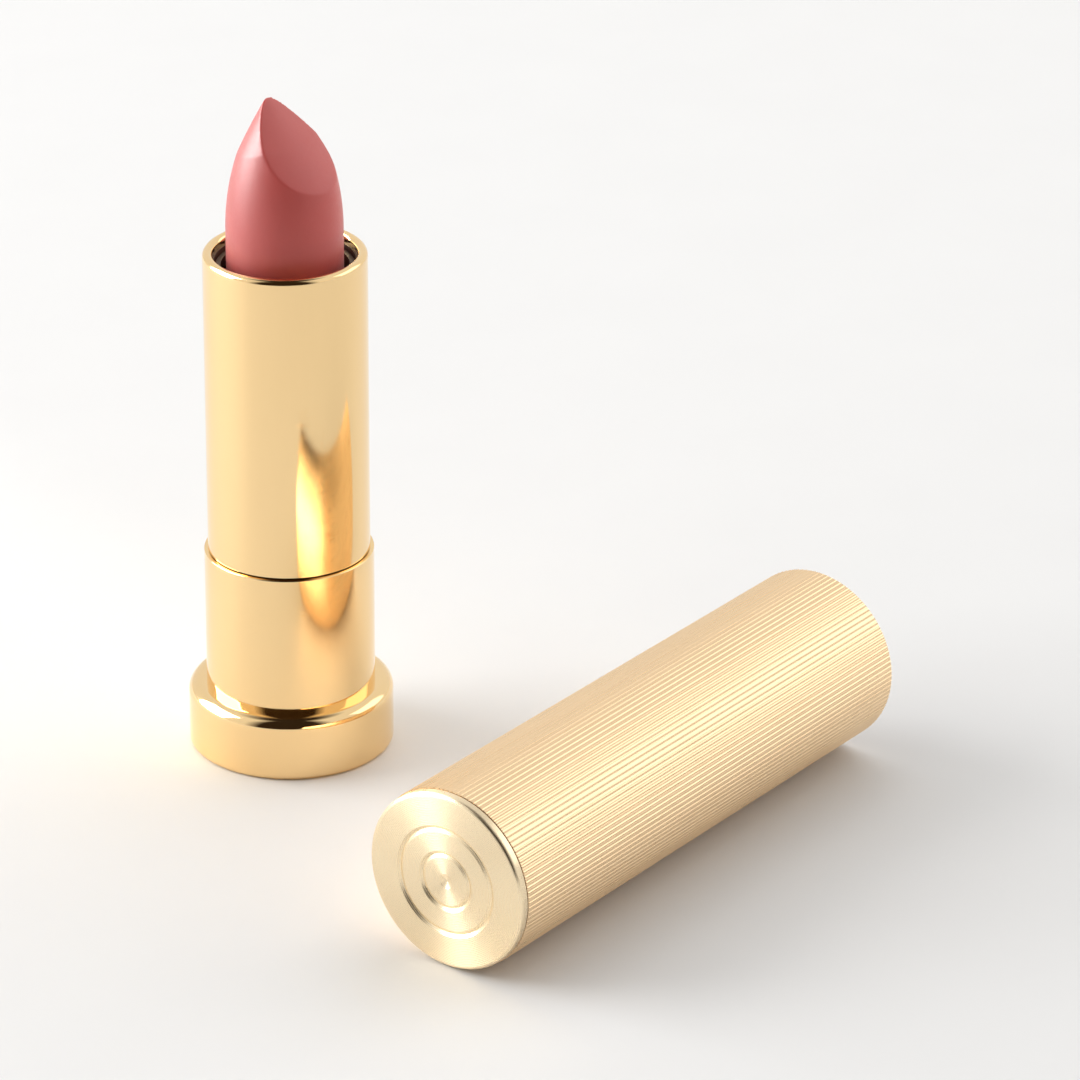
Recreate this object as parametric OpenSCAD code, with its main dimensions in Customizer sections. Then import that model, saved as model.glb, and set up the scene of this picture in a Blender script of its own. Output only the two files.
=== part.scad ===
// Twist-up bullet lipstick: an open tube with its bullet raised, and its fluted cap lying beside it.
// Frame: +Z up, origin at the centre of the tube's underside, on the surface that it stands on.
// +X runs along the lying cap, from its closed end to its mouth.
// The diameters are a stack, worked out from the bullet outwards, so each fit follows the piece inside it.

/* [Bullet] */
// Diameter of the lipstick bullet
bullet_d = 12.1; // [9:0.1:16]
// Length of the bullet before its nose is cut, from the cup's floor to the apex
bullet_len = 35.6; // [24:0.2:44]
// Length of the rounded nose
nose_len = 16.5; // [9:0.5:22]
// Height at which the cut meets the bullet's axis, measured down from the uncut apex
cut_drop = 5.1; // [3:0.1:8]
// Steepness of the cut, from the horizontal
cut_angle = 48.5; // [35:0.5:60]
// Radius of the cut's slight crown
cut_crown_r = 13; // [10:1:30]
// How far the bullet still rises from the height that it stands at
rise_left = 3.5; // [1:0.5:6]
// How far the bullet winds down from the height that it stands at
drop_left = 17; // [10:0.5:18]

/* [Twist mechanism] */
// Rise of the bullet for one full turn of the sleeve
lead = 14; // [11:0.5:20]
// Depth of the cup that holds the bullet
cup_len = 12; // [8:0.5:15]
// Wall of the cup
cup_wall = 0.45; // [0.4:0.05:0.8]
// Thickness of the cup's floor
cup_floor = 1.2; // [0.8:0.1:2]
// Diameter of the two lugs on the cup
lug_d = 1.8; // [1.2:0.1:2.2]
// Wall of the slotted guide tube
guide_wall = 0.53; // [0.4:0.01:1]
// Wall of the spiral cam, outside its bore
spiral_wall = 0.78; // [0.7:0.01:1.2]
// Depth of the helical grooves
groove_depth = 0.47; // [0.4:0.01:0.55]
// Radial clearance between the parts that slide or turn on each other
running_gap = 0.12; // [0.08:0.01:0.2]
// Clearance round a lug in its slot and its groove
lug_gap = 0.25; // [0.2:0.05:0.35]

/* [Sleeve and barrel] */
// Length of the polished sleeve above the seam
sleeve_len = 33.2; // [28:0.05:42]
// Wall of the sleeve
sleeve_wall = 0.45; // [0.3:0.05:0.7]
// Width of the rolled rim at the sleeve's mouth
rim_w = 1.1; // [0.9:0.05:1.15]
// Height of the seam above the table
seam_z = 22.2; // [21:0.2:28]
// Width of the dark gap at the seam
seam_gap = 0.1; // [0.1:0.05:0.5]
// How far the barrel stands proud of the sleeve
barrel_step = 0.4; // [0.3:0.05:0.6]
// Wall of the barrel
barrel_wall = 0.45; // [0.3:0.05:0.5]

/* [Base] */
// Height of the foot ring
foot_h = 7; // [5:0.5:10]
// How far the foot ring stands proud of the barrel
foot_overhang = 1.9; // [1.5:0.1:3]
// Radius of the ring's upper shoulder
foot_shoulder_r = 1.3; // [0.6:0.1:1.4]
// Radius of the ring's lower edge
foot_edge_r = 0.5; // [0.2:0.1:0.8]
// Thickness of the steel weight in the base
weight_h = 5.5; // [3:0.5:6.6]

/* [Cap] */
// Whole length of the cap
cap_len = 64.2; // [58:0.2:78]
// Wall of the fluted shell
shell_wall = 0.38; // [0.3:0.01:0.6]
// Number of flutes round the shell
flute_count = 110; // [60:2:140]
// Depth of a flute
flute_depth = 0.04; // [0.02:0.01:0.16]
// Radial clearance between the barrel and the shell
barrel_gap = 0.22; // [0.15:0.01:0.35]
// Radial clearance between the sleeve and the liner
liner_gap = 0.1; // [0.05:0.01:0.15]
// Thickness of the steel weight in the cap's closed end
cap_weight_h = 5; // [2:0.5:6]
// Where the cap's closed end lies, along the cap
cap_x = -30; // [-60:1:-20]
// Where the cap's axis lies, across the cap
cap_y = -44; // [-80:1:-30]

/* [Hidden] */
$fn = 96;
FINE = 240;
ARC_STEPS = 8;
NOSE_STEPS = 20;
BIG = 60;

gold = [0.90, 0.74, 0.45];
champagne = [0.94, 0.84, 0.64];
rose = [0.80, 0.42, 0.42];
ivory = [0.92, 0.90, 0.84];
graphite = [0.25, 0.25, 0.27];
steel = [0.62, 0.63, 0.65];
paper = [0.96, 0.95, 0.93];

// Radii, from the bullet outwards
bullet_r = bullet_d / 2;
cup_r = bullet_r + cup_wall;
guide_in = cup_r + running_gap;
guide_r = guide_in + guide_wall;
spiral_in = guide_r + running_gap;
groove_r = spiral_in + groove_depth;
spiral_r = spiral_in + spiral_wall;
lug_reach = groove_r - running_gap;
sleeve_r = spiral_r + sleeve_wall;
barrel_r = sleeve_r + barrel_step;
barrel_in = barrel_r - barrel_wall;
foot_r = barrel_r + foot_overhang;
shell_in = barrel_r + barrel_gap;
shell_r = shell_in + shell_wall;
liner_in = sleeve_r + liner_gap;

// Heights of the base, from the table up
lip_h = 1;
lip_w = 0.9;
lip_in = barrel_r - lip_w;
plug_lift = 0.3;
label_t = 0.2;
label_recess = 0.3;
label_margin = 0.7;
insert_wall = 0.55;
insert_floor = 0.8;
fit_gap = 0.1;
insert_in = barrel_in - insert_wall;
weight_z = lip_h + insert_floor;
knob_z = weight_z + weight_h + fit_gap;
knob_h = 4.3;
flange_h = 0.6;
insert_top = knob_z + knob_h;
flange_z = insert_top + flange_h;

// Heights of the mechanism, from the rim down
sleeve_z = seam_z + seam_gap;
rim_z = sleeve_z + sleeve_len;
lip_drop = 1;
spiral_top = rim_z - lip_drop;
guide_top = spiral_top - 0.5;
cup_headroom = 0.8;
cup_z = guide_top - cup_headroom - rise_left - cup_len;
lug_z = cup_z + 1 + lug_d / 2;
bullet_z = cup_z + cup_floor;
apex_z = bullet_z + bullet_len;
neck_top = cup_z - drop_left - 1;
neck_floor = 1;
neck_in = guide_in - 1.2;
spiral_z = flange_z + 0.15;

// The brake ring and the seat that it runs in
brake_r = 0.45;
brake_z = spiral_z + 1.8;
brake_seat_r = guide_r + 2.9 * running_gap + fit_gap;
brake_mid_r = brake_seat_r - fit_gap - brake_r;
brake_seat_h = 3.6;

// The helical grooves: a band as tall as a lug and its clearance, measured along the axis
helix_angle = atan(lead / (2 * PI * groove_r));
band_h = (lug_d + 2 * lug_gap) / cos(helix_angle);
band_angle = 360 * band_h / lead;
groove_z = lug_z - drop_left - band_h / 2 - lug_gap;
groove_len = drop_left + rise_left + band_h + 2 * lug_gap;
SLICES_PER_TURN = 40;

// The cap, from its closed end
disc_t = 1;
disc_inset = 0.1;
disc_edge_r = 0.45;
disc_gap = 0.12;
spigot_len = 1.6;
shell_z = disc_t + disc_gap;
cap_weight_z = disc_t + spigot_len;
liner_z = cap_weight_z + cap_weight_h + fit_gap;
liner_end_t = 0.8;
liner_lead_in = 0.3;
barrel_cover = seam_z - foot_h + 0.4;
liner_top = cap_len - barrel_cover;
mouth_chamfer = 0.15;

// Points of an arc round (cx, cy), from angle a0 to angle a1
function arc(cx, cy, r, a0, a1, steps = ARC_STEPS) =
    [for (i = [0:steps]) let (a = a0 + (a1 - a0) * i / steps) [cx + r * cos(a), cy + r * sin(a)]];

module ring(r_out, r_in, z0, z1) {
    translate([0, 0, z0])
    difference() {
        cylinder(r = r_out, h = z1 - z0);
        translate([0, 0, -1]) cylinder(r = r_in, h = z1 - z0 + 2);
    }
}

// Heavy ring round the foot: rounded shoulder above, small edge below, and an inward lip that holds the barrel
module foot_ring() {
    sh = foot_shoulder_r;
    ed = foot_edge_r;
    color(gold)
    rotate_extrude()
    polygon(concat(
        [[lip_in + 0.15, 0]],
        arc(foot_r - ed, ed, ed, -90, 0),
        arc(foot_r - sh, foot_h - sh, sh, 0, 90),
        [[barrel_r, foot_h], [barrel_r, lip_h], [lip_in, lip_h], [lip_in, 0.15]]
    ));
}

// Drawn tube of the base: it stands on the ring's lip, and its top edge turns in towards the mechanism
module lower_barrel() {
    ed = barrel_wall / 2;
    turn_in = 0.2;
    turn_h = 0.6;
    color(gold)
    rotate_extrude()
    polygon(concat(
        [[barrel_in, lip_h], [barrel_r, lip_h]],
        arc(barrel_r - ed, seam_z - ed, ed, 0, 90),
        [[barrel_in - turn_in, seam_z], [barrel_in - turn_in, seam_z - turn_h], [barrel_in, seam_z - turn_h]]
    ));
}

// Disc that closes the bottom inside the ring's lip, with a shallow recess for the label
module base_plug() {
    color(graphite)
    difference() {
        translate([0, 0, plug_lift]) cylinder(r = lip_in, h = lip_h - plug_lift);
        translate([0, 0, plug_lift - 1]) cylinder(r = lip_in - label_margin, h = 1 + label_recess);
    }
}

// Blank paper disc in the plug's recess
module shade_label() {
    color(paper)
    translate([0, 0, plug_lift + label_recess - label_t])
    cylinder(r = lip_in - label_margin - fit_gap, h = label_t);
}

// Moulded cup inside the barrel: the weight lies on its floor, and the guide's knob closes it
module base_insert() {
    color(graphite)
    difference() {
        translate([0, 0, lip_h]) cylinder(r = barrel_in, h = insert_top - lip_h);
        translate([0, 0, lip_h + insert_floor]) cylinder(r = insert_in, h = BIG);
    }
}

// Steel slug with a small centre hole
module base_weight() {
    color(steel) ring(insert_in - fit_gap, 1.5, weight_z, weight_z + weight_h);
}

// Inner tube of the mechanism: knob, flange and grooved neck below, and two straight slots for the cup's lugs
module guide_tube() {
    slot_w = lug_d + 2 * lug_gap;
    slot_z0 = lug_z - drop_left;
    slot_z1 = lug_z + rise_left;
    color(graphite)
    difference() {
        union() {
            translate([0, 0, knob_z]) cylinder(r = insert_in, h = knob_h);
            translate([0, 0, insert_top]) cylinder(r = barrel_in, h = flange_h);
            translate([0, 0, flange_z]) cylinder(r = guide_r, h = guide_top - flange_z);
        }
        translate([0, 0, neck_top]) cylinder(r = guide_in, h = BIG);
        translate([0, 0, knob_z - 1]) cylinder(r = neck_in, h = neck_top - neck_floor - knob_z + 1);
        ring(BIG, brake_mid_r - brake_r, brake_z - brake_r - fit_gap, brake_z + brake_r + fit_gap);
        for (side = [0, 180])
        rotate([0, 0, side])
        translate([guide_in - 1, -slot_w / 2, slot_z0])
        cube([guide_wall + 2, slot_w, slot_z1 - slot_z0]);
        for (side = [0, 180], z = [slot_z0, slot_z1])
        rotate([0, 0, side])
        translate([guide_in - 1, 0, z])
        rotate([0, 90, 0]) cylinder(d = slot_w, h = guide_wall + 2);
    }
}

// Rubber ring in the neck's groove, which drags on the spiral cam
module brake_ring() {
    color(graphite)
    translate([0, 0, brake_z])
    rotate_extrude()
    translate([brake_mid_r, 0]) circle(r = brake_r, $fn = 32);
}

// Polished metal sleeve with its rim rolled inwards
module upper_sleeve() {
    half = rim_w / 2;
    color(gold)
    rotate_extrude()
    polygon(concat(
        [[spiral_r, sleeve_z], [sleeve_r - 0.15, sleeve_z], [sleeve_r, sleeve_z + 0.15]],
        arc(sleeve_r - half, rim_z - half, half, 0, 180, 2 * ARC_STEPS),
        [[sleeve_r - rim_w, spiral_top], [spiral_r, spiral_top]]
    ));
}

// One helical groove's band, as tall as the cup's travel
module helix_band() {
    a = band_angle / 2;
    steps = 6;
    // The band's middle stands at the lug's own angle where it passes the lug's height
    start = 360 * (lug_z - groove_z) / lead;
    translate([0, 0, groove_z])
    rotate([0, 0, start])
    linear_extrude(
        height = groove_len, twist = 360 * groove_len / lead,
        slices = ceil(SLICES_PER_TURN * groove_len / lead), $fn = 2 * (steps + 1)
    )
    polygon(concat(
        arc(0, 0, guide_r, a, -a, steps),
        arc(0, 0, groove_r, -a, a, steps)
    ));
}

// Moulded tube inside the sleeve, with two helical grooves and a wider seat for the brake ring
module spiral_cam() {
    color(graphite)
    difference() {
        ring(spiral_r, spiral_in, spiral_z, spiral_top);
        translate([0, 0, spiral_z - 1]) cylinder(r = brake_seat_r, h = 1 + brake_seat_h);
        for (side = [0, 180]) rotate([0, 0, side]) helix_band();
    }
}

// Cup that holds the bullet, with the two lugs that ride in the slots and the grooves.
// The lugs' ends are rounded to the grooves' radius, so their clearance is the same all over.
module bullet_cup() {
    color(ivory) {
        difference() {
            translate([0, 0, cup_z]) cylinder(r = cup_r, h = cup_len);
            translate([0, 0, bullet_z]) cylinder(r = bullet_r, h = BIG);
        }
        intersection() {
            for (side = [0, 180])
            rotate([0, 0, side])
            translate([bullet_r + cup_wall / 2, 0, lug_z])
            rotate([0, 90, 0]) cylinder(d = lug_d, h = lug_reach - bullet_r);
            translate([0, 0, cup_z]) cylinder(r = lug_reach, h = cup_len, $fn = FINE);
        }
    }
}

// Lipstick bullet: an ogive nose, cut by one slanted face with a slight crown, which faces the cap
module bullet() {
    nose_r = (nose_len * nose_len + bullet_r * bullet_r) / (2 * bullet_r);
    nose_end = asin(nose_len / nose_r);
    nose_z = apex_z - nose_len;
    cut_bite = 3;
    color(rose)
    difference() {
        rotate_extrude()
        polygon(concat(
            [[0, bullet_z], [bullet_r, bullet_z]],
            arc(bullet_r - nose_r, nose_z, nose_r, 0, nose_end, NOSE_STEPS)
        ));
        translate([0, 0, apex_z - cut_drop])
        rotate([cut_angle, 0, 0])
        difference() {
            translate([-BIG / 2, -BIG / 2, -cut_bite]) cube([BIG, BIG, BIG]);
            translate([0, 0, -cut_crown_r])
            rotate([90, 0, 0]) cylinder(r = cut_crown_r, h = 2 * BIG, center = true);
        }
    }
}

// Sets a piece of the cap, drawn upright on its closed end, into its place lying on the table
module lay_cap() {
    translate([cap_x, cap_y, shell_r]) rotate([0, 90, 0]) children();
}

// Outline of the fluted shell: a land and a V-shaped flute, once round
function flutes(r, depth, count) =
    let (pitch = 360 / count, land = 0.22 * pitch)
    [for (i = [0:count - 1], p = [[-land, r], [land, r], [pitch / 2, r - depth]])
        p[1] * [cos(i * pitch + p[0]), sin(i * pitch + p[0])]];

// Fluted metal shell of the cap
module cap_shell() {
    color(champagne)
    lay_cap()
    difference() {
        translate([0, 0, shell_z])
        linear_extrude(height = cap_len - shell_z) polygon(flutes(shell_r, flute_depth, flute_count));
        translate([0, 0, -1]) cylinder(r = shell_in, h = cap_len + 2, $fn = FINE);
        translate([0, 0, cap_len - mouth_chamfer])
        cylinder(r1 = shell_in, r2 = shell_in + mouth_chamfer, h = mouth_chamfer + 0.001, $fn = FINE);
    }
}

// Turned end disc: rounded rim, two fine rings and a centre dimple, on a spigot that plugs the shell
module cap_end_disc() {
    r = shell_r - disc_inset;
    ed = disc_edge_r;
    outer_ring = 0.6 * r;
    inner_ring = 0.31 * r;
    step = 0.12;
    ring_w = 0.3;
    dimple_r = 0.8;
    dimple_depth = 0.3;
    color(champagne)
    lay_cap()
    rotate_extrude()
    polygon(concat(
        [[0, step + dimple_depth], [dimple_r, step]],
        [[inner_ring - ring_w, step], [inner_ring, 2.2 * step], [inner_ring + ring_w, step / 2]],
        [[outer_ring - ring_w, step / 2], [outer_ring, 1.8 * step], [outer_ring + ring_w, 0]],
        arc(r - ed, ed, ed, -90, 0),
        [[r, disc_t], [shell_in, disc_t], [shell_in, disc_t + spigot_len], [0, disc_t + spigot_len]]
    ));
}

// Moulded liner: closed at the weight, and open towards the mouth with a small lead-in
module cap_liner() {
    color(ivory)
    lay_cap()
    difference() {
        translate([0, 0, liner_z]) cylinder(r = shell_in, h = liner_top - liner_z);
        translate([0, 0, liner_z + liner_end_t]) cylinder(r = liner_in, h = BIG + cap_len);
        translate([0, 0, liner_top - liner_lead_in])
        cylinder(r1 = liner_in, r2 = liner_in + liner_lead_in, h = liner_lead_in + 0.001);
    }
}

// Steel slug between the end disc and the liner
module cap_weight() {
    color(steel)
    lay_cap()
    translate([0, 0, cap_weight_z]) cylinder(r = shell_in - fit_gap, h = cap_weight_h);
}

foot_ring();
lower_barrel();
base_plug();
shade_label();
base_insert();
base_weight();
guide_tube();
brake_ring();
upper_sleeve();
spiral_cam();
bullet_cup();
bullet();
cap_shell();
cap_end_disc();
cap_liner();
cap_weight();
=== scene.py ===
# %% [markdown]
# # A twist-up lipstick with its cap off
# The lipstick stands open, with its rose bullet raised, and its fluted cap lies beside it.
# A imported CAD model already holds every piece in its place, so it is loaded first, as a fixed frame.
# Each shell that shows is then modelled again as a clean lathed mesh at the CAD piece's own size,
# because a polished metal mirror shows every facet. The hidden pieces keep their CAD meshes.

import math

import bpy
from mathutils import Euler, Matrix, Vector


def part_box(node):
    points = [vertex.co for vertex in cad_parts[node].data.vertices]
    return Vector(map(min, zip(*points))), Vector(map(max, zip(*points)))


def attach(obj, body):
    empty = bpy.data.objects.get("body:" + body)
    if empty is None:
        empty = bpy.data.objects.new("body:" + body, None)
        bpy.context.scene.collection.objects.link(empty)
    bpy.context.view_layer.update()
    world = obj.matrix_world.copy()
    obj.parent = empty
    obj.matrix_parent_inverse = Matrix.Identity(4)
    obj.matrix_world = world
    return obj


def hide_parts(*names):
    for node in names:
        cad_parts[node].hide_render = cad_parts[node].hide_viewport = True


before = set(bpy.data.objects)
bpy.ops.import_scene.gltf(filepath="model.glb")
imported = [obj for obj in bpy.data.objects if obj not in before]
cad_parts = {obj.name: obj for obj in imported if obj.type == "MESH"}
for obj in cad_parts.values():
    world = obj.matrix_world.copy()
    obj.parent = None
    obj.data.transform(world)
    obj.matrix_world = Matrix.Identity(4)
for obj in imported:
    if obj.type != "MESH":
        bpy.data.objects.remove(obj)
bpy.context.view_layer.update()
MM = 0.001
print("CAD nodes:", ", ".join(sorted(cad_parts)))

# %% [markdown]
# ## The camera
# The camera looks down at the pair from the front left, far enough away for the upright tube to stay
# almost parallel. It could be placed by hand, but a direction and a distance from a point between the
# tube and the cap are easier to change one at a time.

# %% Camera
AIM = Vector((20.8, -17.2, 20.0)) * MM
CAMERA_AZIMUTH = math.radians(-53.05)
CAMERA_ELEVATION = math.radians(25.0)
CAMERA_DISTANCE = 616 * MM
CAMERA_ROLL = math.radians(0.3)
FIELD_OF_VIEW = math.radians(10.6)
NEAR_LIMIT = 0.01
FAR_LIMIT = 20


def way_to(azimuth, elevation):
    """The direction from the aim to a place seen at these angles."""
    return Vector((
        math.sin(azimuth) * math.cos(elevation),
        -math.cos(azimuth) * math.cos(elevation),
        math.sin(elevation),
    ))


camera_data = bpy.data.cameras.new("Camera")
camera = bpy.data.objects.new("Camera", camera_data)
bpy.context.scene.collection.objects.link(camera)
bpy.context.scene.camera = camera
away = way_to(CAMERA_AZIMUTH, CAMERA_ELEVATION)
camera.location = AIM + away * CAMERA_DISTANCE
looking = (-away).to_track_quat("-Z", "Y")
camera.rotation_euler = (looking @ Euler((0, 0, CAMERA_ROLL)).to_quaternion()).to_euler()
camera_data.angle = FIELD_OF_VIEW
camera_data.clip_start = NEAR_LIMIT
camera_data.clip_end = FAR_LIMIT
print("camera at", [round(v, 3) for v in camera.location])

# %% [markdown]
# ## Sizes from the frame
# Every radius and height below is read from the boxes of the CAD nodes, so the new meshes can't drift
# away from them. A wall's inner radius is the outer radius of the piece that sits in it.


# %% Sizes
def radius_of(node):
    """Outer radius of a node that is round about the tube's axis or the cap's."""
    low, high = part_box(node)
    return (high[1] - low[1]) / 2


def heights_of(node):
    """Lowest and highest point of a node."""
    low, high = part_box(node)
    return low[2], high[2]


foot_r = radius_of("foot_ring")
foot_top = heights_of("foot_ring")[1]
lip_in = radius_of("base_plug")
barrel_r = radius_of("lower_barrel")
barrel_in = radius_of("base_insert")
barrel_low, seam_z = heights_of("lower_barrel")
sleeve_r = radius_of("upper_sleeve")
sleeve_in = radius_of("spiral_cam")
sleeve_low, rim_z = heights_of("upper_sleeve")
bullet_r = radius_of("bullet")
bullet_low, bullet_tip = heights_of("bullet")
cap_r = radius_of("cap_shell")
cap_in = radius_of("cap_liner")
cap_low, cap_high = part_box("cap_shell")
disc_r = radius_of("cap_end_disc")
disc_low, disc_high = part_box("cap_end_disc")
liner_low, liner_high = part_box("cap_liner")
cap_axis = Vector((0, (cap_low[1] + cap_high[1]) / 2, (cap_low[2] + cap_high[2]) / 2))
for label, radius in (("foot", foot_r), ("barrel", barrel_r), ("sleeve", sleeve_r), ("cap", cap_r)):
    print(f"{label} {2 * radius / MM:.1f} mm across")

# %% [markdown]
# ## A lathe made of two operators
# Almost every piece is a body of revolution. By hand it would be drawn as half a section, one vertex
# extruded after another, and then spun round its axis. The helper does just that: a plane is merged into
# one vertex, that vertex is extruded along the outline, and the spin operator turns it once round.
# Where the turn ends, its last points fall on its first, so doubles are merged and the seam closes.

# %% Selection helpers
TUBE_AXIS = Vector((0, 0, 0))
DOUBLES = 0.001 * MM


def deselect_all():
    if bpy.context.mode != "OBJECT":
        bpy.ops.object.mode_set(mode="OBJECT")
    bpy.ops.object.select_all(action="DESELECT")


def make_active(piece):
    deselect_all()
    piece.select_set(True)
    bpy.context.view_layer.objects.active = piece


def select_vertices(piece, wanted):
    """Selects the vertices whose place passes a test, and leaves the piece in edit mode."""
    make_active(piece)
    bpy.ops.object.mode_set(mode="EDIT")
    bpy.ops.mesh.select_mode(type="VERT")
    bpy.ops.mesh.select_all(action="DESELECT")
    bpy.ops.object.mode_set(mode="OBJECT")
    for vertex in piece.data.vertices:
        vertex.select = wanted(vertex.co)
    bpy.ops.object.mode_set(mode="EDIT")


# %% Lathe
def arc(cx, cy, r, start, end, steps):
    """Points of an arc in the section, with its angles in degrees."""
    angles = [math.radians(start + (end - start) * i / steps) for i in range(steps + 1)]
    return [(cx + r * math.cos(a), cy + r * math.sin(a)) for a in angles]


def lathe(name, outline, steps, along="Z", centre=TUBE_AXIS, closed=True):
    """Spins an outline of (radius, place along the axis) points once round the axis."""
    def place(point):
        r, h = point
        return Vector((r, 0, h)) + centre if along == "Z" else Vector((h, 0, r)) + centre

    deselect_all()
    path = [place(p) for p in outline]
    bpy.ops.mesh.primitive_plane_add(size=MM, location=path[0])
    piece = bpy.context.object
    piece.name = name
    bpy.ops.object.transform_apply(location=True)
    bpy.ops.object.mode_set(mode="EDIT")
    bpy.ops.mesh.select_all(action="SELECT")
    bpy.ops.mesh.merge(type="CENTER")
    for here, there in zip(path, path[1:] + path[:1] if closed else path[1:]):
        bpy.ops.mesh.extrude_region_move(TRANSFORM_OT_translate={"value": there - here})
    bpy.ops.mesh.select_all(action="SELECT")
    bpy.ops.mesh.remove_doubles(threshold=DOUBLES)
    bpy.ops.mesh.select_all(action="SELECT")
    axis = (0, 0, 1) if along == "Z" else (1, 0, 0)
    bpy.ops.mesh.spin(steps=steps, angle=2 * math.pi, center=centre, axis=axis)
    bpy.ops.mesh.select_all(action="SELECT")
    bpy.ops.mesh.remove_doubles(threshold=DOUBLES)
    bpy.ops.mesh.normals_make_consistent(inside=False)
    bpy.ops.object.mode_set(mode="OBJECT")
    return piece


# %% Finishing helpers
SMOOTH_BELOW = 32


def smooth(piece, angle=SMOOTH_BELOW):
    """Smooth shading below an angle, with the normals kept true on the long straight walls."""
    make_active(piece)
    bpy.ops.object.shade_smooth_by_angle(angle=math.radians(angle))
    even = piece.modifiers.new("Even normals", "WEIGHTED_NORMAL")
    even.keep_sharp = True
    bpy.ops.object.modifier_apply(modifier=even.name)


def settle(piece, body, node, material):
    """The piece rides on its body, stands for its CAD node, and takes its finish."""
    piece.data.materials.clear()
    piece.data.materials.append(material)
    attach(piece, body)
    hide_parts(node)
    print(f"{piece.name}: {len(piece.data.polygons)} faces, stands for {node}")


# %% [markdown]
# ## Shared effects
# A handled metal is never one colour. Three effects come back in several finishes, so each is a node
# group: smudges that dull a polish in soft patches, hairline scratches, and a fine lengthwise grain.
# The groups give out only masks and heights, and the shader itself stays in each material.


# %% Node helpers
def new_group(name, inputs, outputs):
    """A node group with its named sockets, and its first and last node."""
    group = bpy.data.node_groups.new(name, "ShaderNodeTree")
    for label, kind, value in inputs:
        socket = group.interface.new_socket(name=label, in_out="INPUT", socket_type=kind)
        if value is not None:
            socket.default_value = value
    for label, kind in outputs:
        group.interface.new_socket(name=label, in_out="OUTPUT", socket_type=kind)
    return group, group.nodes.new("NodeGroupInput"), group.nodes.new("NodeGroupOutput")


def add(tree, kind, **settings):
    node = tree.nodes.new(kind)
    for key, value in settings.items():
        setattr(node, key, value)
    return node


def feed(tree, socket, value):
    """Links another node's output to a socket, or writes a plain value on it."""
    if isinstance(value, bpy.types.NodeSocket):
        tree.links.new(value, socket)
    else:
        socket.default_value = value


def noise(tree, vector, scale, detail=2.0, roughness=0.5, distortion=0.0):
    node = add(tree, "ShaderNodeTexNoise")
    feed(tree, node.inputs["Vector"], vector)
    feed(tree, node.inputs["Scale"], scale)
    node.inputs["Detail"].default_value = detail
    node.inputs["Roughness"].default_value = roughness
    node.inputs["Distortion"].default_value = distortion
    return node.outputs["Fac"]


def stretch(tree, vector, scale, location=(0, 0, 0)):
    node = add(tree, "ShaderNodeMapping")
    feed(tree, node.inputs["Vector"], vector)
    node.inputs["Scale"].default_value = scale
    node.inputs["Location"].default_value = location
    return node.outputs["Vector"]


def remap(tree, value, low, high, to_low=0.0, to_high=1.0):
    """Turns the range from low to high into another one, and stops at its ends."""
    node = add(tree, "ShaderNodeMapRange", clamp=True)
    feed(tree, node.inputs["Value"], value)
    for label, number in (("From Min", low), ("From Max", high), ("To Min", to_low), ("To Max", to_high)):
        node.inputs[label].default_value = number
    return node.outputs["Result"]


def combine(tree, operation, a, b):
    node = add(tree, "ShaderNodeMath", operation=operation)
    feed(tree, node.inputs[0], a)
    feed(tree, node.inputs[1], b)
    return node.outputs[0]


# %% [markdown]
# ### Smudges
# A thumb leaves soft patches, a few millimetres wide, that are a little duller than the polish round
# them. One noise makes the patches, and a finer, drawn-out one breaks them up as skin does.

# %% Smudge group
PATCH_FROM, PATCH_TO = 0.48, 0.72
BREAK_FROM, BREAK_TO = 0.3, 0.75
LEAST_LEFT = 0.45

SMUDGES, start, end = new_group(
    "Smudges",
    [("Vector", "NodeSocketVector", None), ("Size", "NodeSocketFloat", 180.0)],
    [("Mask", "NodeSocketFloat")],
)
patches = noise(
    SMUDGES, start.outputs["Vector"], start.outputs["Size"], detail=3.0, roughness=0.55, distortion=0.6)
skin_lines = stretch(SMUDGES, start.outputs["Vector"], (1, 1, 0.35))
streaks = noise(SMUDGES, skin_lines, 900.0, roughness=0.6)
soft = remap(SMUDGES, patches, PATCH_FROM, PATCH_TO)
left_over = remap(SMUDGES, streaks, BREAK_FROM, BREAK_TO, LEAST_LEFT, 1.0)
SMUDGES.links.new(combine(SMUDGES, "MULTIPLY", soft, left_over), end.inputs["Mask"])
print(SMUDGES.name, "has", len(SMUDGES.nodes), "nodes")

# %% [markdown]
# ### Hairlines
# Cloth and fingers leave scratches that run along the tube or round it. Both are noises stretched a long
# way in one direction, and only their highest peaks count, so the lines stay few and thin.

# %% Hairline group
HAIRLINES, start, end = new_group(
    "Hairlines",
    [("Vector", "NodeSocketVector", None)],
    [("Height", "NodeSocketFloat"), ("Mask", "NodeSocketFloat")],
)
drawn_up = stretch(HAIRLINES, start.outputs["Vector"], (1.0, 1.0, 0.04))
drawn_round = stretch(HAIRLINES, start.outputs["Vector"], (0.3, 0.3, 9.0), location=(0.1, 0.2, 0.3))
lines_up = remap(HAIRLINES, noise(HAIRLINES, drawn_up, 9000.0, detail=1.0), 0.68, 0.78)
lines_round = remap(HAIRLINES, noise(HAIRLINES, drawn_round, 900.0, detail=1.0), 0.7, 0.8)
scratch = combine(HAIRLINES, "MAXIMUM", lines_up, lines_round)
HAIRLINES.links.new(scratch, end.inputs["Mask"])
HAIRLINES.links.new(combine(HAIRLINES, "MULTIPLY", scratch, -1.0), end.inputs["Height"])
print(HAIRLINES.name, "has", len(HAIRLINES.nodes), "nodes")

# %% [markdown]
# ### Lengthwise grain
# A tube that is drawn through a die carries fine lines along its length. The cap lies along X, so the
# noise is stretched fifty times along X.

# %% Grain group
DRAWN_OUT = 0.02

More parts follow.
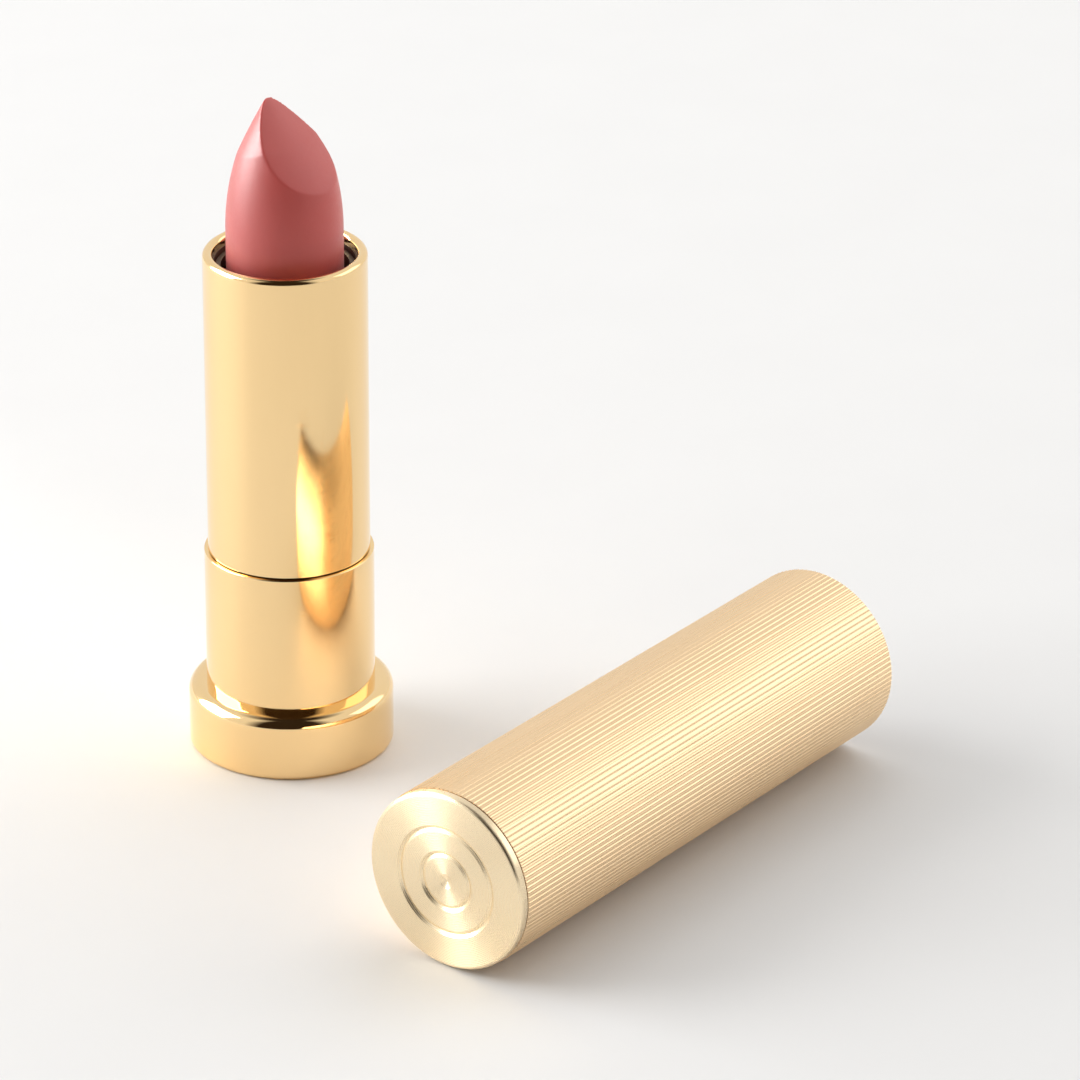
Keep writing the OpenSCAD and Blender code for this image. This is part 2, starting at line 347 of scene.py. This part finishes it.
GRAIN, start, end = new_group(
    "Lengthwise grain",
    [("Vector", "NodeSocketVector", None), ("Fineness", "NodeSocketFloat", 5000.0)],
    [("Height", "NodeSocketFloat"), ("Mask", "NodeSocketFloat")],
)
drawn = stretch(GRAIN, start.outputs["Vector"], (DRAWN_OUT, 1, 1))
coarse = noise(GRAIN, drawn, start.outputs["Fineness"], roughness=0.7)
GRAIN.links.new(coarse, end.inputs["Height"])
GRAIN.links.new(remap(GRAIN, coarse, 0.35, 0.65), end.inputs["Mask"])
print(GRAIN.name, "has", len(GRAIN.nodes), "nodes")

# %% [markdown]
# ## Finishes
# Each finish is one Principled shader with its own values, which stand on the shader's own sockets.
# Only what changes over the surface comes through nodes: the colour, the roughness and the relief.


# %% Material helpers
def new_material(name, **sockets):
    """A material with its values set, its tree, its shader and the piece's own coordinates."""
    material = bpy.data.materials.new(name)
    material.use_nodes = True
    tree = material.node_tree
    shader = tree.nodes["Principled BSDF"]
    for key, value in sockets.items():
        shader.inputs[key.replace("_", " ")].default_value = value
    where = add(tree, "ShaderNodeTexCoord").outputs["Object"]
    return material, tree, shader, where


def place_group(tree, group, vector, **values):
    node = add(tree, "ShaderNodeGroup", node_tree=group)
    tree.links.new(vector, node.inputs["Vector"])
    for key, value in values.items():
        node.inputs[key].default_value = value
    return node


def tint(tree, shader, factor, colours):
    """Mixes two near colours over the surface."""
    mix = add(tree, "ShaderNodeMix", data_type="RGBA")
    tree.links.new(factor, mix.inputs["Factor"])
    for label, colour in zip("AB", colours):
        mix.inputs[label].default_value = (*colour, 1)
    tree.links.new(mix.outputs["Result"], shader.inputs["Base Color"])


def bump(tree, shader, height, strength, distance):
    node = add(tree, "ShaderNodeBump")
    node.inputs["Strength"].default_value = strength
    node.inputs["Distance"].default_value = distance
    tree.links.new(height, node.inputs["Height"])
    tree.links.new(node.outputs["Normal"], shader.inputs["Normal"])


# %% [markdown]
# ### Polished gold
# The tube is plated and polished to a mirror. Metal gets its colour from the reflection itself, so the
# base colour is the tint of the plating. Smudges dull it in patches and hairlines scratch it, which keeps
# the polish from looking like a computer's.

# %% Polished gold
PLATING = (0.94, 0.675, 0.345), (0.965, 0.70, 0.37)
POLISH, DULLED = 0.075, 0.15
SCRATCH_ROUGH = 0.08


def polished_gold():
    material, tree, shader, where = new_material("Polished gold", Metallic=1.0)
    smudge = place_group(tree, SMUDGES, where, Size=150.0).outputs["Mask"]
    lines = place_group(tree, HAIRLINES, where)
    tint(tree, shader, noise(tree, where, 60.0), PLATING)
    dull = remap(tree, smudge, 0.0, 1.0, POLISH, DULLED)
    scratched = combine(tree, "MULTIPLY", lines.outputs["Mask"], SCRATCH_ROUGH)
    tree.links.new(combine(tree, "ADD", dull, scratched), shader.inputs["Roughness"])
    bump(tree, shader, lines.outputs["Height"], strength=0.06, distance=0.02 * MM)
    return material


GOLD = polished_gold()
print(GOLD.name, "has", len(GOLD.node_tree.nodes), "nodes")

# %% [markdown]
# ### Fluted gold
# The cap's skin is a paler, satin gold. The flutes themselves are geometry. Between them the metal has the
# die's fine grain, which the material adds as relief, as roughness and as a slight change of tint.

# %% Fluted gold
CHAMPAGNE = (0.925, 0.675, 0.405), (0.96, 0.715, 0.445)
SATIN_LOW, SATIN_HIGH = 0.25, 0.33
SMUDGE_ROUGH = 0.05


def fluted_gold():
    material, tree, shader, where = new_material("Fluted gold", Metallic=1.0)
    grain = place_group(tree, GRAIN, where, Fineness=4000.0)
    smudge = place_group(tree, SMUDGES, where, Size=120.0).outputs["Mask"]
    tint(tree, shader, grain.outputs["Mask"], CHAMPAGNE)
    satin = remap(tree, grain.outputs["Mask"], 0, 1, SATIN_LOW, SATIN_HIGH)
    rough = combine(tree, "ADD", satin, combine(tree, "MULTIPLY", smudge, SMUDGE_ROUGH))
    tree.links.new(rough, shader.inputs["Roughness"])
    bump(tree, shader, grain.outputs["Height"], strength=0.25, distance=0.02 * MM)
    return material


FLUTED = fluted_gold()
print(FLUTED.name, "has", len(FLUTED.node_tree.nodes), "nodes")

# %% [markdown]
# ### Turned gold
# The end disc is faced on a lathe, so its tool marks are circles about the cap's axis, and its highlight
# fans out from the middle. A ring wave makes the marks, and an anisotropic shader with a tangent that
# runs round the same axis makes the fan.

# %% Turned gold
PALE_PLATING = (0.945, 0.765, 0.51), (0.975, 0.815, 0.56)
TURNED_LOW, TURNED_HIGH = 0.26, 0.34
TOOL_MARKS = 1800.0


def turned_gold():
    material, tree, shader, where = new_material(
        "Turned gold", Metallic=1.0, Anisotropic=0.8, Anisotropic_Rotation=0.25)
    centred = stretch(tree, where, (1, 1, 1), tuple(-cap_axis))
    rings = add(tree, "ShaderNodeTexWave", wave_type="RINGS", rings_direction="X")
    tree.links.new(centred, rings.inputs["Vector"])
    rings.inputs["Scale"].default_value = TOOL_MARKS
    rings.inputs["Distortion"].default_value = 1.2
    rings.inputs["Detail"].default_value = 2.0
    tint(tree, shader, noise(tree, where, 300.0), PALE_PLATING)
    rough = remap(tree, rings.outputs["Fac"], 0, 1, TURNED_LOW, TURNED_HIGH)
    tree.links.new(rough, shader.inputs["Roughness"])
    bump(tree, shader, rings.outputs["Fac"], strength=0.3, distance=0.02 * MM)
    tangent = add(tree, "ShaderNodeTangent", direction_type="RADIAL", axis="X")
    tree.links.new(tangent.outputs["Tangent"], shader.inputs["Tangent"])
    return material


TURNED = turned_gold()
print(TURNED.name, "has", len(TURNED.node_tree.nodes), "nodes")

# %% [markdown]
# ### Rose wax
# The bullet is pigment in wax. A little light travels under its skin, which softens its shadows, and a
# sheen lifts its edges as the powdery pigment does. A fine relief breaks up the highlight.

# %% Rose wax
ROSE = (0.54, 0.078, 0.068), (0.58, 0.088, 0.078)
WAX_LOW, WAX_HIGH = 0.40, 0.52


def rose_wax():
    material, tree, shader, where = new_material(
        "Rose wax", Subsurface_Weight=0.2, Subsurface_Scale=0.8 * MM, Subsurface_Radius=(1.0, 0.35, 0.3),
        Specular_IOR_Level=0.6, Sheen_Weight=0.45, Sheen_Roughness=0.45, Sheen_Tint=(1.0, 0.72, 0.70, 1))
    tint(tree, shader, noise(tree, where, 260.0, detail=3.0, roughness=0.55), ROSE)
    skin = noise(tree, where, 2600.0, detail=3.0, roughness=0.6)
    tree.links.new(remap(tree, skin, 0.3, 0.7, WAX_LOW, WAX_HIGH), shader.inputs["Roughness"])
    bump(tree, shader, skin, strength=0.25, distance=0.03 * MM)
    return material


WAX = rose_wax()
print(WAX.name, "has", len(WAX.node_tree.nodes), "nodes")

# %% [markdown]
# ### Mouldings, steel, rubber and paper
# These pieces are hidden or show only as a glimpse, so one function makes all their finishes: a soft
# mottle in the colour, and one fine texture for both the roughness and the relief.


# %% Plain finishes
def plain_finish(name, colours, roughness, grain_scale, height, **sockets):
    """A finish with a soft mottle in its colour and a fine texture in its roughness and relief."""
    material, tree, shader, where = new_material(name, **sockets)
    tint(tree, shader, noise(tree, where, grain_scale / 6), colours)
    texture = noise(tree, where, grain_scale, detail=3.0, roughness=0.6)
    tree.links.new(remap(tree, texture, 0.3, 0.7, *roughness), shader.inputs["Roughness"])
    bump(tree, shader, texture, strength=0.4, distance=height)
    return material


IVORY = plain_finish(
    "Ivory moulding", colours=((0.76, 0.72, 0.62), (0.82, 0.78, 0.69)),
    roughness=(0.38, 0.5), grain_scale=2400.0, height=0.02 * MM)
DARK = plain_finish(
    "Dark moulding", colours=((0.085, 0.056, 0.034), (0.11, 0.072, 0.045)),
    roughness=(0.35, 0.5), grain_scale=2400.0, height=0.02 * MM)
STEEL = plain_finish(
    "Turned steel", colours=((0.46, 0.46, 0.47), (0.55, 0.55, 0.56)),
    roughness=(0.25, 0.4), grain_scale=3000.0, height=0.02 * MM, Metallic=1.0)
RUBBER = plain_finish(
    "Brake rubber", colours=((0.012, 0.012, 0.012), (0.02, 0.02, 0.02)),
    roughness=(0.6, 0.8), grain_scale=1800.0, height=0.03 * MM)
PAPER = plain_finish(
    "Label paper", colours=((0.82, 0.80, 0.75), (0.88, 0.86, 0.82)),
    roughness=(0.75, 0.9), grain_scale=5000.0, height=0.04 * MM)
print("finishes:", [m.name for m in bpy.data.materials])

# %% [markdown]
# ## The foot ring
# The heavy ring round the base is turned from brass: a rounded shoulder above, a small edge below, and
# a lip inside that holds the barrel. A bevel modifier could round its edges, but its arcs are drawn in
# the outline instead, because a lathe cuts them so and each gets the radius it needs.

# %% Foot ring
ROUND_STEPS = 192
SHOULDER_R = 1.3 * MM
SHOULDER_STEPS = 14
FOOT_EDGE_R = 0.5 * MM
EDGE_STEPS = 8
BREAK = 0.15 * MM

foot_outline = (
    [(lip_in + BREAK, 0)]
    + arc(foot_r - FOOT_EDGE_R, FOOT_EDGE_R, FOOT_EDGE_R, -90, 0, EDGE_STEPS)
    + arc(foot_r - SHOULDER_R, foot_top - SHOULDER_R, SHOULDER_R, 0, 90, SHOULDER_STEPS)
    + [(barrel_r, foot_top), (barrel_r, barrel_low), (lip_in, barrel_low), (lip_in, BREAK)]
)
foot = lathe("foot_ring_turned", foot_outline, ROUND_STEPS)
smooth(foot)
settle(foot, "base", "foot_ring", GOLD)

# %% [markdown]
# ## The barrel
# The barrel is a drawn tube that stands in the ring. Its top edge is rounded a little, and its wall turns
# in under the sleeve, so that the seam shows as one thin dark line and nothing of the inside is seen.

# %% Barrel
TURN_IN = 0.2 * MM
TURN_DEPTH = 0.6 * MM
BARREL_EDGE_R = 0.12 * MM

turned_in = barrel_in - TURN_IN
barrel_outline = (
    [(barrel_in, barrel_low), (barrel_r, barrel_low)]
    + arc(barrel_r - BARREL_EDGE_R, seam_z - BARREL_EDGE_R, BARREL_EDGE_R, 0, 90, EDGE_STEPS)
    + [(turned_in, seam_z), (turned_in, seam_z - TURN_DEPTH), (barrel_in, seam_z - TURN_DEPTH)]
)
barrel = lathe("lower_barrel_drawn", barrel_outline, ROUND_STEPS)
smooth(barrel)
settle(barrel, "base", "lower_barrel", GOLD)

# %% [markdown]
# ## The sleeve
# The sleeve is a narrower drawn tube that turns on the barrel. Its wall rolls over into a full round at
# the mouth, which is drawn as half a circle in the outline, and its lower edge is barely broken.

# %% Sleeve
RIM_W = 1.1 * MM
RIM_DROP = 1.0 * MM
RIM_STEPS = 20
SLEEVE_BREAK = 0.05 * MM

sleeve_outline = (
    [(sleeve_in, sleeve_low), (sleeve_r - SLEEVE_BREAK, sleeve_low), (sleeve_r, sleeve_low + SLEEVE_BREAK)]
    + arc(sleeve_r - RIM_W / 2, rim_z - RIM_W / 2, RIM_W / 2, 0, 180, RIM_STEPS)
    + [(sleeve_r - RIM_W, rim_z - RIM_DROP), (sleeve_in, rim_z - RIM_DROP)]
)
sleeve = lathe("upper_sleeve_drawn", sleeve_outline, ROUND_STEPS)
smooth(sleeve)
settle(sleeve, "sleeve", "upper_sleeve", GOLD)

# %% [markdown]
# ## The cap's fluted shell
# The shell is drawn through a die with over a hundred fine flutes. They could be a bump in the material,
# but then the shape itself would be a smooth tube. So the shell is spun with six steps to a flute, and all
# but the crest of each flute is pulled in towards the axis. Three resize operations make all the flutes
# at once, and what one takes in, the next takes in further. So a flute is deepest along its two sides,
# twice the named depth, and keeps a low ridge along its middle, which splits its highlight in two.

# %% Plain shell
FLUTES = 110
STEPS_PER_FLUTE = 6
END_BREAK = 0.05 * MM
END_BREAK_LEN = 0.1 * MM
MOUTH_CHAMFER = 0.15 * MM

shell_outline = [
    (cap_in, cap_low[0]),
    (cap_r - END_BREAK, cap_low[0]),
    (cap_r, cap_low[0] + END_BREAK_LEN),
    (cap_r, cap_high[0] - MOUTH_CHAMFER),
    (cap_r - MOUTH_CHAMFER, cap_high[0]),
    (cap_in + MOUTH_CHAMFER, cap_high[0]),
    (cap_in, cap_high[0] - MOUTH_CHAMFER),
]
shell = lathe("cap_shell_fluted", shell_outline, FLUTES * STEPS_PER_FLUTE, along="X", centre=cap_axis)
print("shell spun in", FLUTES * STEPS_PER_FLUTE, "steps")

# %% Flutes
FLUTE_DEPTH = 0.035 * MM
FLUTE_PASSES = ((1, 5), 0.25), ((1, 2, 4, 5), 0.75), ((1, 2, 3, 4, 5), 1.0)
FLUTE_SMOOTH_BELOW = 50


def flute_phase(co):
    """Which of a flute's steps a vertex stands on, counted from the crest that faces up."""
    turn = math.atan2(co.y - cap_axis.y, co.z - cap_axis.z) / (2 * math.pi)
    return round(turn * FLUTES * STEPS_PER_FLUTE) % STEPS_PER_FLUTE


def on_outside(co):
    return math.hypot(co.y - cap_axis.y, co.z - cap_axis.z) > (cap_in + cap_r) / 2


for phases, share in FLUTE_PASSES:
    factor = (cap_r - share * FLUTE_DEPTH) / cap_r
    select_vertices(shell, lambda co: on_outside(co) and flute_phase(co) in phases)
    bpy.ops.transform.resize(value=(1, factor, factor), center_override=cap_axis)
    bpy.ops.object.mode_set(mode="OBJECT")
print(f"flutes {sum(share for _, share in FLUTE_PASSES) * FLUTE_DEPTH / MM:.3f} mm deep at their sides")
smooth(shell, FLUTE_SMOOTH_BELOW)
settle(shell, "cap", "cap_shell", FLUTED)

# %% [markdown]
# ## The cap's end disc
# The end disc is turned on a lathe: a rounded rim, a wide flat, two fine rings and a dimple in the middle
# where the tool ran out. All of it is in the outline. It is smoothed only below a small angle, so the
# rings keep their crisp edges.

# %% End disc
DISC_EDGE = 0.45 * MM
DISC_T = 1.0 * MM
STEP = 0.12 * MM
RING_W = 0.35 * MM
OUTER_RING_SHARE, OUTER_RING_CUT = 0.6, 1.8
INNER_RING_SHARE, INNER_RING_CUT = 0.31, 2.2
DIMPLE_R = 0.8 * MM
DIMPLE_DEPTH = 0.3 * MM
DISC_SMOOTH_BELOW = 12
face = disc_low[0]


def turned_ring(r, depth_before, depth_ring, depth_after):
    """A fine V-shaped ring: its section's points, from the axis outwards."""
    return [(r - RING_W, face + depth_before), (r, face + depth_ring), (r + RING_W, face + depth_after)]


disc_outline = (
    [(0, face + STEP + DIMPLE_DEPTH), (DIMPLE_R, face + STEP)]
    + turned_ring(INNER_RING_SHARE * disc_r, STEP, INNER_RING_CUT * STEP, STEP / 2)
    + turned_ring(OUTER_RING_SHARE * disc_r, STEP / 2, OUTER_RING_CUT * STEP, 0)
    + arc(disc_r - DISC_EDGE, face + DISC_EDGE, DISC_EDGE, -90, 0, EDGE_STEPS)
    + [(disc_r, face + DISC_T), (cap_in, face + DISC_T), (cap_in, disc_high[0]), (0, disc_high[0])]
)
disc = lathe("cap_end_disc_turned", disc_outline, ROUND_STEPS, along="X", centre=cap_axis, closed=False)
smooth(disc, DISC_SMOOTH_BELOW)
settle(disc, "cap", "cap_end_disc", TURNED)

# %% [markdown]
# ## The cap's liner
# Behind the disc a moulded cup lines the shell and grips the sleeve. It shows at the cap's mouth, where
# a short lead-in guides the sleeve into the bore.

# %% Liner
LINER_GAP = 0.1 * MM
LINER_END = 0.8 * MM
LEAD_IN = 0.3 * MM

liner_bore = sleeve_r + LINER_GAP
liner_outline = [
    (0, liner_low[0]),
    (cap_in, liner_low[0]),
    (cap_in, liner_high[0]),
    (liner_bore + LEAD_IN, liner_high[0]),
    (liner_bore, liner_high[0] - LEAD_IN),
    (liner_bore, liner_low[0] + LINER_END),
    (0, liner_low[0] + LINER_END),
]
liner = lathe("cap_liner_moulded", liner_outline, ROUND_STEPS, along="X", centre=cap_axis, closed=False)
smooth(liner)
settle(liner, "cap", "cap_liner", IVORY)

# %% [markdown]
# ## The bullet
# A lipstick bullet is cast in a mould: a round ogive with one slanted face. It could be sculpted, but
# its two surfaces are both simple, so the ogive is spun from one long arc and the face is cut later.

# %% Ogive
NOSE_LEN = 16.5 * MM
NOSE_STEPS = 48
BULLET_LEN = 35.6 * MM
BULLET_STEPS = 160

nose_r = (NOSE_LEN ** 2 + bullet_r ** 2) / (2 * bullet_r)
apex = bullet_low + BULLET_LEN
nose_end = math.degrees(math.asin(NOSE_LEN / nose_r))
bullet_outline = (
    [(0, bullet_low), (bullet_r, bullet_low)]
    + arc(bullet_r - nose_r, apex - NOSE_LEN, nose_r, 0, nose_end, NOSE_STEPS)
)
bullet = lathe("bullet_cast", bullet_outline, BULLET_STEPS, closed=False)
print(f"nose radius {nose_r / MM:.1f} mm")

# %% [markdown]
# ### The slanted face
# The face isn't flat but keeps a slight crown. So the tool that cuts it is a block whose underside is
# hollowed by a large cylinder, and it is tilted before a boolean takes it out of the ogive.

# %% Slanted face
CUT_DROP = 5.1 * MM
CUT_ANGLE = math.radians(48.5)
CROWN_R = 13 * MM
CROWN_STEPS = 256
CUTTER = 60 * MM
CUTTER_DIP = 3 * MM


def cut(piece, tool):
    """Takes the tool's shape out of the piece, and deletes the tool."""
    make_active(piece)
    boolean = piece.modifiers.new("Cut", "BOOLEAN")
    boolean.operation = "DIFFERENCE"
    boolean.solver = "EXACT"
    boolean.object = tool
    bpy.ops.object.modifier_apply(modifier=boolean.name)
    bpy.data.objects.remove(tool)


deselect_all()
bpy.ops.mesh.primitive_cylinder_add(vertices=CROWN_STEPS, radius=CROWN_R, depth=CUTTER, location=(0, 0, 0))
crown = bpy.context.object
crown.rotation_euler = (math.radians(90), 0, 0)
crown.location = (0, 0, -CROWN_R)
bpy.ops.object.transform_apply(location=True, rotation=True)
deselect_all()
bpy.ops.mesh.primitive_cube_add(size=CUTTER, location=(0, 0, CUTTER / 2 - CUTTER_DIP))
cutter = bpy.context.object
bpy.ops.object.transform_apply(location=True)
cut(cutter, crown)
cutter.rotation_euler = (CUT_ANGLE, 0, 0)
cutter.location = (0, 0, apex - CUT_DROP)
make_active(cutter)
bpy.ops.object.transform_apply(location=True, rotation=True)
cut(bullet, cutter)
print("cut bullet:", len(bullet.data.polygons), "faces")

# %% [markdown]
# ### The wax skin
# Wax never has a sharp edge. A bevel would need the cut's edge to be clean all round, so the whole mesh
# is remeshed finely and smoothed once instead, which rounds every edge by the same small amount.

# %% Wax skin
VOXEL = 0.15 * MM

make_active(bullet)
remesh = bullet.modifiers.new("Fine skin", "REMESH")
remesh.mode = "VOXEL"
remesh.voxel_size = VOXEL
bpy.ops.object.modifier_apply(modifier=remesh.name)
relax = bullet.modifiers.new("Soft edges", "SMOOTH")
relax.factor = 0.5
relax.iterations = 1
bpy.ops.object.modifier_apply(modifier=relax.name)
print("bullet's skin:", len(bullet.data.polygons), "faces")

# %% [markdown]
# ### The tip
# Where the slanted face meets the round nose, the tip of a real bullet is narrower than the cut alone
# makes it. A resize with proportional editing pinches it, and its effect fades away below the tip.

# %% Tip
PINCH_DEPTH = 0.1 * MM
PINCH_REACH = 6.0 * MM
PINCH = (0.65, 0.9, 1)

tip = max((v.co for v in bullet.data.vertices), key=lambda co: co.z).copy()
select_vertices(bullet, lambda co: co.z > tip.z - PINCH_DEPTH)
bpy.ops.transform.resize(
    value=PINCH, center_override=(0, tip.y, tip.z), use_proportional_edit=True,
    proportional_edit_falloff="LINEAR", proportional_size=PINCH_REACH)
bpy.ops.object.mode_set(mode="OBJECT")
bpy.ops.object.shade_smooth()
settle(bullet, "carrier", "bullet", WAX)
highest = max(v.co.z for v in bullet.data.vertices)
print("bullet tip", round(highest / MM, 2), "mm, CAD", round(bullet_tip / MM, 2))

# %% [markdown]
# ## The pieces that keep their CAD meshes
# The mechanism, the weights and the pieces under the base are hidden or half hidden, and their CAD
# shapes are right as they are. Each gets its own finish.

# %% CAD finishes
CAD_FINISHES = {
    "base_plug": DARK, "shade_label": PAPER, "base_insert": DARK, "base_weight": STEEL,
    "guide_tube": DARK, "brake_ring": RUBBER, "spiral_cam": DARK, "bullet_cup": IVORY,
    "cap_weight": STEEL,
}
for node, finish in CAD_FINISHES.items():
    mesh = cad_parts[node].data
    mesh.materials.clear()
    mesh.materials.append(finish)
print("CAD pieces with their own finish:", len(CAD_FINISHES))

# %% [markdown]
# ## The floor
# The pair stands on a plain pale floor with almost no gloss, so that the lights don't mirror in it. It
# lies a hair below the pieces, because two faces in one plane would flicker.

# %% Floor
FLOOR_SIZE = 1.6
FLOOR_SINK = 0.01 * MM

deselect_all()
bpy.ops.mesh.primitive_plane_add(size=FLOOR_SIZE, location=(0, 0, -FLOOR_SINK))
floor = bpy.context.object
floor.name = "floor"
floor.data.materials.append(plain_finish(
    "Pale floor", colours=((0.77, 0.77, 0.77), (0.79, 0.79, 0.79)), roughness=(0.7, 0.8),
    grain_scale=400.0, height=0.01 * MM, Specular_IOR_Level=0.08))
print("floor", FLOOR_SIZE, "m wide")

# %% [markdown]
# ## The room
# Polished metal shows the room more than itself, so the room is part of the finish. It is bright all
# round, and dark only on the side where the viewer stands and straight overhead. Those dark parts draw
# the brown streaks on the rounded rim and shoulder, without which gold looks like plastic. Cards on
# stands would do it in a studio. Here the world's own colour does it, by direction, and the camera
# itself sees one plain pale grey.

# %% Where the room is dark
DARK_HALF_WIDTH = math.radians(42)
DARK_TOP = math.radians(68)
DARK_EDGE = math.radians(8)

toward_viewer = way_to(CAMERA_AZIMUTH, 0)
room = bpy.data.worlds.new("Bright room")
bpy.context.scene.world = room
room.use_nodes = True
tree = room.node_tree
direction = add(tree, "ShaderNodeTexCoord").outputs["Generated"]
flat = add(tree, "ShaderNodeVectorMath", operation="MULTIPLY")
feed(tree, flat.inputs[0], direction)
feed(tree, flat.inputs[1], (1, 1, 0))
level = add(tree, "ShaderNodeVectorMath", operation="NORMALIZE")
feed(tree, level.inputs[0], flat.outputs["Vector"])
facing = add(tree, "ShaderNodeVectorMath", operation="DOT_PRODUCT")
feed(tree, facing.inputs[0], level.outputs["Vector"])
feed(tree, facing.inputs[1], toward_viewer)
height = add(tree, "ShaderNodeSeparateXYZ")
feed(tree, height.inputs["Vector"], direction)
beside = remap(
    tree, facing.outputs["Value"],
    math.cos(DARK_HALF_WIDTH + DARK_EDGE), math.cos(DARK_HALF_WIDTH - DARK_EDGE))
overhead = remap(tree, height.outputs["Z"], math.sin(DARK_TOP - DARK_EDGE), math.sin(DARK_TOP + DARK_EDGE))
print("the room's dark side spans", round(2 * math.degrees(DARK_HALF_WIDTH)), "degrees")

# %% The room's colours
ROOM_BRIGHT = (0.88, 0.87, 0.85)
ROOM_DARK = (0.03, 0.02, 0.012)
ROOM_SEEN = (0.86, 0.86, 0.86)


def blend_colours(factor, a, b):
    """A mix node in the room's tree, with colours or other nodes' outputs on its two sides."""
    mix = add(tree, "ShaderNodeMix", data_type="RGBA")
    feed(tree, mix.inputs["Factor"], factor)
    feed(tree, mix.inputs["A"], a)
    feed(tree, mix.inputs["B"], b)
    return mix.outputs["Result"]


mirrored = blend_colours(combine(tree, "MAXIMUM", beside, overhead), (*ROOM_BRIGHT, 1), (*ROOM_DARK, 1))
camera_ray = add(tree, "ShaderNodeLightPath").outputs["Is Camera Ray"]
shown = blend_colours(camera_ray, mirrored, (*ROOM_SEEN, 1))
feed(tree, tree.nodes["Background"].inputs["Color"], shown)
print("room:", len(tree.nodes), "nodes")

# %% [markdown]
# ## The lights
# A wide soft box stands at the left like a window and lights the wax and the floor. A second box in the
# same place shows only in reflections, because a highlight needs more light than the floor can bear.
# A weak box behind on the right gives the sheen along the cap, and a fill from high behind, which no
# reflection shows, softens the shadows.


# %% Lights
def around(azimuth, elevation, distance):
    """A place seen from the aim: degrees round from the viewer, positive to the right, and up."""
    return AIM + distance * way_to(CAMERA_AZIMUTH + math.radians(azimuth), math.radians(elevation))


def soft_box(name, location, target, size, power, spread=180):
    light = bpy.data.lights.new(name, "AREA")
    light.shape = "RECTANGLE"
    light.size, light.size_y = size
    light.energy = power
    light.spread = math.radians(spread)
    lamp = bpy.data.objects.new(name, light)
    bpy.context.scene.collection.objects.link(lamp)
    lamp.visible_camera = False
    lamp.location = location
    lamp.rotation_euler = (Vector(target) - Vector(location)).to_track_quat("-Z", "Y").to_euler()
    print(f"{name}: {power} W at", [round(v, 2) for v in lamp.location])
    return lamp


window = soft_box("Left window", around(-96, 24, 0.95), AIM, size=(0.7, 0.65), power=7.5)
glint = soft_box("Left gloss", around(-96, 24, 0.95), AIM, size=(0.75, 0.75), power=24)
glint.visible_diffuse = False
sheen = soft_box("Right box", around(106, 27, 1.0), AIM, size=(0.8, 0.55), power=1.35)
fill = soft_box("Fill", around(150, 60, 1.0), AIM, size=(1.0, 0.9), power=3.6)
fill.visible_glossy = False

# %% [markdown]
# ### The pool on the floor
# A small box with a narrow spread hangs over the left of the floor. It brightens that part of the floor
# only, and the upright tube mirrors it as one pale band with a crisp edge. The edge runs straight away
# from the tube's foot, so the box is turned to that line.

# %% Pool
POOL_EDGE = math.radians(-54)
POOL_SIZE = 0.3
POOL_HEIGHT = 0.25
POOL_REACH = 0.48
POOL_POWER = 0.026
POOL_SPREAD = 10

edge_way = way_to(CAMERA_AZIMUTH + POOL_EDGE, 0)
beyond = Vector((edge_way.y, -edge_way.x, 0))
pool_middle = edge_way * POOL_SIZE * POOL_REACH + beyond * POOL_SIZE / 2
pool = soft_box(
    "Gridded box", pool_middle + Vector((0, 0, POOL_HEIGHT)), pool_middle,
    size=(POOL_SIZE, POOL_SIZE), power=POOL_POWER, spread=POOL_SPREAD)
pool.visible_glossy = False
pool.rotation_euler = (0, 0, math.atan2(edge_way.y, edge_way.x))

# %% [markdown]
# ### The view
# The standard view transform keeps the pale floor and the bright bands as light as they are in the room,
# where a film-like one would grey them.

# %% View
bpy.context.scene.view_settings.view_transform = "Standard"
print("view transform:", bpy.context.scene.view_settings.view_transform)
